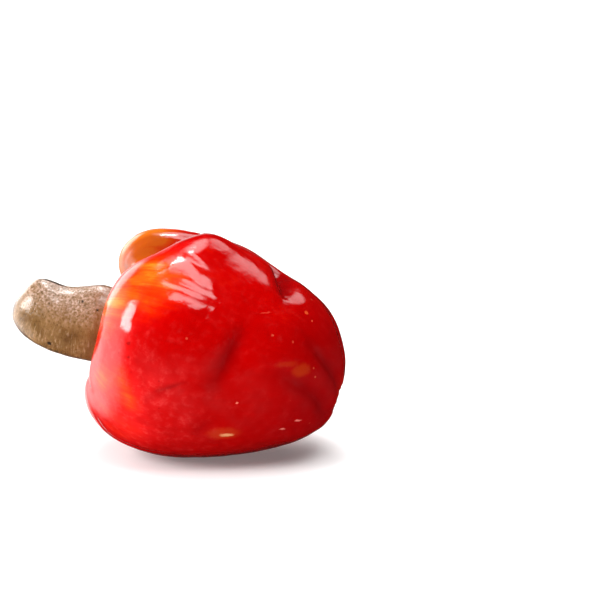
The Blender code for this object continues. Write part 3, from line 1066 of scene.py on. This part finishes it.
# %% Pores
small_strength = between(skin_tree, pale_and_reflection_zone, 0.05, 0.45, 0.10, 0.65)
PORES = (
    (170, 0, (0.085, 0.035), (0.62, 0.80), 0.22, (0.95, 0.20, 0.10)),
    (170, 1, (0.10, 0.05), (0.70, 0.85), 0.50, (0.25, 0.002, 0.004)),
    (480, 2, (0.16, 0.06), (0.72, 0.90), small_strength, (0.28, 0.002, 0.003)),
)
for per_metre, channel, size, chance, strength, tint in PORES:
    distance, dice = cells(skin_tree, skin_at, per_metre)
    shown = between(skin_tree, split(skin_tree, "Color", dice)[channel], *chance)
    dots = sums(skin_tree, "MULTIPLY", between(skin_tree, distance, *size), shown)
    skin_colour = tinted(skin_tree, skin_colour, dots, strength, tint)
print(len(PORES), "kinds of pore")

# %% [markdown]
# ## Marks of this one fruit
# Every fruit has its own marks, and they make it look real: a healed scar low on the near side, a yellowish
# patch by the stem, a few dots and some light scratches. An image could hold them, but a mask worked out
# from a place stays sharp at any size. Each is an oval spot at a place on the skin, and ragged coordinates
# keep its edge from looking drawn.

# %% Marks
MARKS = {
    "halo of the scar": ((0.618, -30), (0.0062, 0.0060, 0.0030), 0.40, (0.50, 0.050, 0.010)),
    "healed scar": ((0.626, -31), (0.0027, 0.0040, 0.0008), 0.62, (0.85, 0.50, 0.20)),
    "patch by the stem": ((0.761, 19), (0.0040, 0.0040, 0.0026), 0.26, (0.55, 0.070, 0.006)),
    "tail of the patch": ((0.716, 20), (0.0050, 0.0040, 0.0012), 0.18, (0.55, 0.060, 0.006)),
    "warm spot": ((0.722, 61), (0.0009, 0.0009, 0.0009), 0.55, (0.90, 0.12, 0.03)),
    "pale dot low": ((0.656, 34), (0.0006, 0.0006, 0.0006), 0.35, (0.90, 0.16, 0.08)),
    "pale dot above": ((0.744, 58), (0.0005, 0.0005, 0.0005), 0.40, (0.90, 0.14, 0.06)),
    "pale dot at the side": ((0.714, 35), (0.0005, 0.0005, 0.0005), 0.30, (0.90, 0.12, 0.06)),
    "pale dot on the belly": ((0.628, -7), (0.0004, 0.0004, 0.0004), 0.60, (0.95, 0.26, 0.18)),
    "dark dot": ((0.340, 9), (0.0007, 0.0007, 0.0007), 0.75, (0.28, 0.004, 0.004)),
    "second dark dot": ((0.320, 2), (0.0005, 0.0005, 0.0005), 0.70, (0.28, 0.004, 0.004)),
    "third dark dot": ((0.350, 2), (0.0006, 0.0006, 0.0006), 0.70, (0.28, 0.004, 0.004)),
    "low scratch": ((0.795, -22), (0.0014, 0.0020, 0.0005), 0.55, (0.90, 0.22, 0.18)),
    "second low scratch": ((0.761, -30), (0.0012, 0.0020, 0.0004), 0.55, (0.90, 0.22, 0.18)),
    "scratch above": ((0.622, 46.5), (0.0022, 0.0030, 0.0003), 0.30, (0.90, 0.10, 0.06)),
}
MARK_RAGGED = (900, 3.0, 0.0012)


def place_in_world(place):
    """The nearest point of the finished skin to this place on the plain one."""
    share, degrees = place
    turn = np.abs((ball_angle - math.radians(degrees) + math.pi) % (2 * math.pi) - math.pi)
    return skin_points[np.argmin(((skin_share - share) * 3.5) ** 2 + turn**2)]


mark_at = ragged(skin_tree, skin_at, *MARK_RAGGED)
for place, reach, strength, tint in MARKS.values():
    mask = spot(skin_tree, mark_at, place_in_world(place), reach)
    skin_colour = tinted(skin_tree, skin_colour, mask, strength, tint)
print(len(MARKS), "marks")

# %% [markdown]
# ## The stem's scar
# Where the fruit hung from its twig a small disc of dry cork is left, deep in the dimple. It could be a
# piece of its own, but that would look stuck on. So it is a colour and a dull finish over the last bit of
# the way along the fruit, with an uneven edge.

# %% Stem scar
CORK = ((0.30, (0.055, 0.022, 0.010)), (0.55, (0.20, 0.105, 0.045)), (0.75, (0.36, 0.22, 0.11)))
SCAR_EDGE = (0.972, 0.986)
scar_edge = sums(skin_tree, "MULTIPLY_ADD", mottle(skin_tree, skin_at, 700, 3.0), 0.012, skin_along)
stem_scar = between(skin_tree, scar_edge, *SCAR_EDGE)
cork = colours(skin_tree, mottle(skin_tree, skin_at, 1500, 4.0, 0.65), CORK)
skin_colour = blend(skin_tree, stem_scar, skin_colour, cork)
print("the scar starts about", round(100 * SCAR_EDGE[0]), "percent of the way along the fruit")

# %% [markdown]
# ## Gloss and glow of the skin
# Wax makes the skin nearly as smooth as glass, but never quite even. The unevenness could be moved into the
# mesh, as the larger lumps are, but relief this fine would need millions of faces. So it is a bump, with
# faint dimples, a fine grain, pebbled patches, streaks, and slow waves that are stronger in the pale zone,
# all less than a tenth of a millimetre. The glow is light that enters the red flesh and comes out again
# close by.

# %% Gloss and glow of the skin
DIMPLES = 520
WAX_GRAIN = 1400
PEBBLES = 760
PEBBLED_AREAS = 130
SLOW_WAVES = 300
BUMP_HEIGHT = 0.00012
GLOW_DEPTH = 0.003

dimples, _ = cells(skin_tree, skin_at, DIMPLES)
wax = mottle(skin_tree, skin_at, WAX_GRAIN, 3.0, 0.6)
grain = sums(skin_tree, "MULTIPLY_ADD", dimples, 0.8, sums(skin_tree, "MULTIPLY", wax, 0.35))
pebbled = between(skin_tree, mottle(skin_tree, skin_at, PEBBLED_AREAS, 2.0), 0.48, 0.62, 0.3, 2.6)
uneven = sums(skin_tree, "MULTIPLY_ADD", pale_and_reflection_zone, 4.5, 0.4)
for cloud, weight in (
    (mottle(skin_tree, skin_at, PEBBLES, 2.0, 0.5), pebbled),
    (fine_streaks, 1.4),
    (mottle(skin_tree, skin_at, SLOW_WAVES, 3.0, 0.55), uneven),
):
    grain = sums(skin_tree, "MULTIPLY_ADD", cloud, weight, grain)
dull = between(skin_tree, mottle(skin_tree, skin_at, 150, 3.0), 0.35, 0.75, 0.07, 0.16)
feed(skin_shader.inputs["Base Color"], skin_colour)
feed(skin_shader.inputs["Roughness"], blend(skin_tree, stem_scar, dull, (0.7, 0.7, 0.7)))
feed(skin_shader.inputs["Normal"], raised(skin_tree, grain, 0.16, BUMP_HEIGHT))
skin_shader.inputs["Subsurface Weight"].default_value = 0.10
skin_shader.inputs["Subsurface Radius"].default_value = (1.0, 0.25, 0.12)
skin_shader.inputs["Subsurface Scale"].default_value = GLOW_DEPTH
apple_cut.materials.clear()
apple_cut.materials.append(skin_finish)
print("the skin has", len(skin_tree.nodes), "nodes")

# %% [markdown]
# ## The leathery shell
# The shell is olive brown with a dark, gritty grain, and greyish pink on its upper side: partly a bloom and
# partly a painted sheen of the light from above. Fine light and dark lines cross its lower half, following
# the wrinkles: painted glints on their ridges and painted shade in their grooves. It is reddish next to the
# apple. The lines use noise on the shell's own coordinates, squeezed along it, so they bend with the nut.

# %% Colour of the shell
SHELL_BROWNS = ((0.28, (0.105, 0.044, 0.012)), (0.50, (0.195, 0.098, 0.030)), (0.72, (0.340, 0.190, 0.080)))
BLOOM_AND_SHEEN_TINTS = ((0.30, (0.160, 0.085, 0.040)), (0.50, (0.310, 0.190, 0.120)), (0.68, (0.640, 0.450, 0.380)))
GRAIN_BROWN = (0.070, 0.038, 0.012)
WRINKLE_GLINT_TINT = (0.46, 0.29, 0.16)
WRINKLE_SHADE_TINT = (0.060, 0.030, 0.010)
SEAT_BROWN = (0.200, 0.065, 0.016)
SHELL_CLOUDS = 150
SHELL_GRAIN = 1300
SHELL_LINES = (3.2, 3.2, 90)

shell_finish, shell_tree, shell_shader, shell_at = new_finish("cashew_nut_leathery_shell")
shell_way = stored(shell_tree, "way", "Vector")
to_hollow, _, along_nut = split(shell_tree, "XYZ", shell_way)
shell_cloud = mottle(shell_tree, shell_at, SHELL_CLOUDS, 4.0, 0.6)
shell_grain = mottle(shell_tree, shell_at, SHELL_GRAIN, 4.0, 0.6)
shell_lines = mottle(shell_tree, stretched(shell_tree, shell_way, SHELL_LINES), 1.0, 4.0, 0.62, 0.4)
# Painted sheen: the upper side turns greyish pink, partly bloom and partly the light from above.
upper_bloom_and_sheen = between(shell_tree, sums(shell_tree, "MULTIPLY_ADD", shell_cloud, 0.5, to_hollow), 0.05, 0.95)
bloom_and_sheen = colours(shell_tree, shell_grain, BLOOM_AND_SHEEN_TINTS)
shell_colour = tinted(shell_tree, colours(shell_tree, shell_cloud, SHELL_BROWNS), upper_bloom_and_sheen, 0.75, bloom_and_sheen)
dark_grain = between(shell_tree, shell_grain, 0.47, 0.34, 0.0, 0.55)
shell_colour = blend(shell_tree, dark_grain, shell_colour, GRAIN_BROWN)
line_strength = between(shell_tree, to_hollow, 0.5, -0.5, 0.25, 1.0)
# Painted glints on the wrinkles' ridges and painted shade in their grooves, strongest on the lower side.
wrinkle_glints = sums(shell_tree, "MULTIPLY", between(shell_tree, shell_lines, 0.54, 0.70), line_strength)
wrinkle_shade = sums(shell_tree, "MULTIPLY", between(shell_tree, shell_lines, 0.46, 0.30), line_strength)
shell_colour = tinted(shell_tree, shell_colour, wrinkle_glints, 0.60, WRINKLE_GLINT_TINT)
near_apple = between(shell_tree, along_nut, 0.48, 0.28, 0.0, 0.60)
shell_colour = blend(shell_tree, near_apple, shell_colour, SEAT_BROWN)
shell_colour = tinted(shell_tree, shell_colour, wrinkle_shade, 0.50, WRINKLE_SHADE_TINT)
print("the shell's lines are about", round(1000 * NUT_LENGTH / SHELL_LINES[2], 1), "mm apart")

# %% [markdown]
# ## Specks on the shell
# A few nearly black specks and one brown line along the hollow edge break up the even brown. The specks are
# drawn like the marks on the apple, and the line is the hollow side's ridge, over a short stretch of it.

# %% Specks on the shell
SPECKS = {
    "upper speck": ((0.453, 49), 0.00065, 0.90),
    "second speck": ((0.340, 62), 0.00060, 0.90),
    "small speck": ((0.662, 66), 0.00038, 0.60),
    "smaller speck": ((0.662, 72), 0.00030, 0.50),
    "low spot": ((0.588, 130), 0.00105, 0.90),
    "back speck": ((0.500, -70), 0.00060, 0.80),
    "back spot": ((0.700, -110), 0.00080, 0.80),
}
SPECK_BROWN = (0.006, 0.003, 0.002)
SPECK_RAGGED = (1500, 2.0, 0.0006)
HOLLOW_BROWN = (0.040, 0.015, 0.008)
HOLLOW_LINE_AT = 0.71

speck_at = ragged(shell_tree, shell_at, *SPECK_RAGGED)
for (share, degrees), radius, strength in SPECKS.values():
    on_shell = nut_shell(np.array([share]), np.array([math.radians(degrees)]))
    mask = spot(shell_tree, speck_at, in_world(on_shell, NUT_TO_WORLD)[0], (radius, radius, radius))
    shell_colour = tinted(shell_tree, shell_colour, mask, strength, SPECK_BROWN)
from_line = sums(shell_tree, "ABSOLUTE", sums(shell_tree, "SUBTRACT", along_nut, HOLLOW_LINE_AT))
line_length = between(shell_tree, from_line, 0.11, 0.05)
hollow_line = sums(shell_tree, "MULTIPLY", between(shell_tree, to_hollow, 0.975, 0.993), line_length)
shell_colour = tinted(shell_tree, shell_colour, hollow_line, 0.85, HOLLOW_BROWN)
print(len(SPECKS), "specks and a brown line")

# %% [markdown]
# ## Sheen of the shell
# The shell is leathery, with a dull sheen that its wrinkles and grain break up. One gloss would be either
# too dull for its bright highlight or too smooth for leather. So a thin oily coat lies over the sheen and
# follows only the wrinkles, and the window shows in it as one clear highlight near the tip.

# %% Sheen of the shell
SHELL_BUMP = 0.00022
COAT_BUMP = 0.00012
grit = sums(shell_tree, "MULTIPLY", shell_grain, 0.8)
shell_height = sums(shell_tree, "MULTIPLY_ADD", shell_lines, 0.5, grit)
feed(shell_shader.inputs["Base Color"], shell_colour)
feed(shell_shader.inputs["Roughness"], between(shell_tree, shell_grain, 0.3, 0.7, 0.08, 0.24))
feed(shell_shader.inputs["Normal"], raised(shell_tree, shell_height, 0.8, SHELL_BUMP))
feed(shell_shader.inputs["Coat Normal"], raised(shell_tree, shell_lines, 0.5, COAT_BUMP))
shell_shader.inputs["Coat Weight"].default_value = 0.7
shell_shader.inputs["Coat Roughness"].default_value = 0.07
nut_mesh.materials.append(shell_finish)
print("the shell has", len(shell_tree.nodes), "nodes")

# %% [markdown]
# ## Put it together
# Each finished piece takes the place of its plain solid and rides on the fruit's one body.

# %% Hand over
for piece, solid, slot in ((apple, "cashew_apple", "apple_skin"), (nut, "cashew_nut", "nut_shell")):
    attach(piece, "root")
    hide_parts(solid)
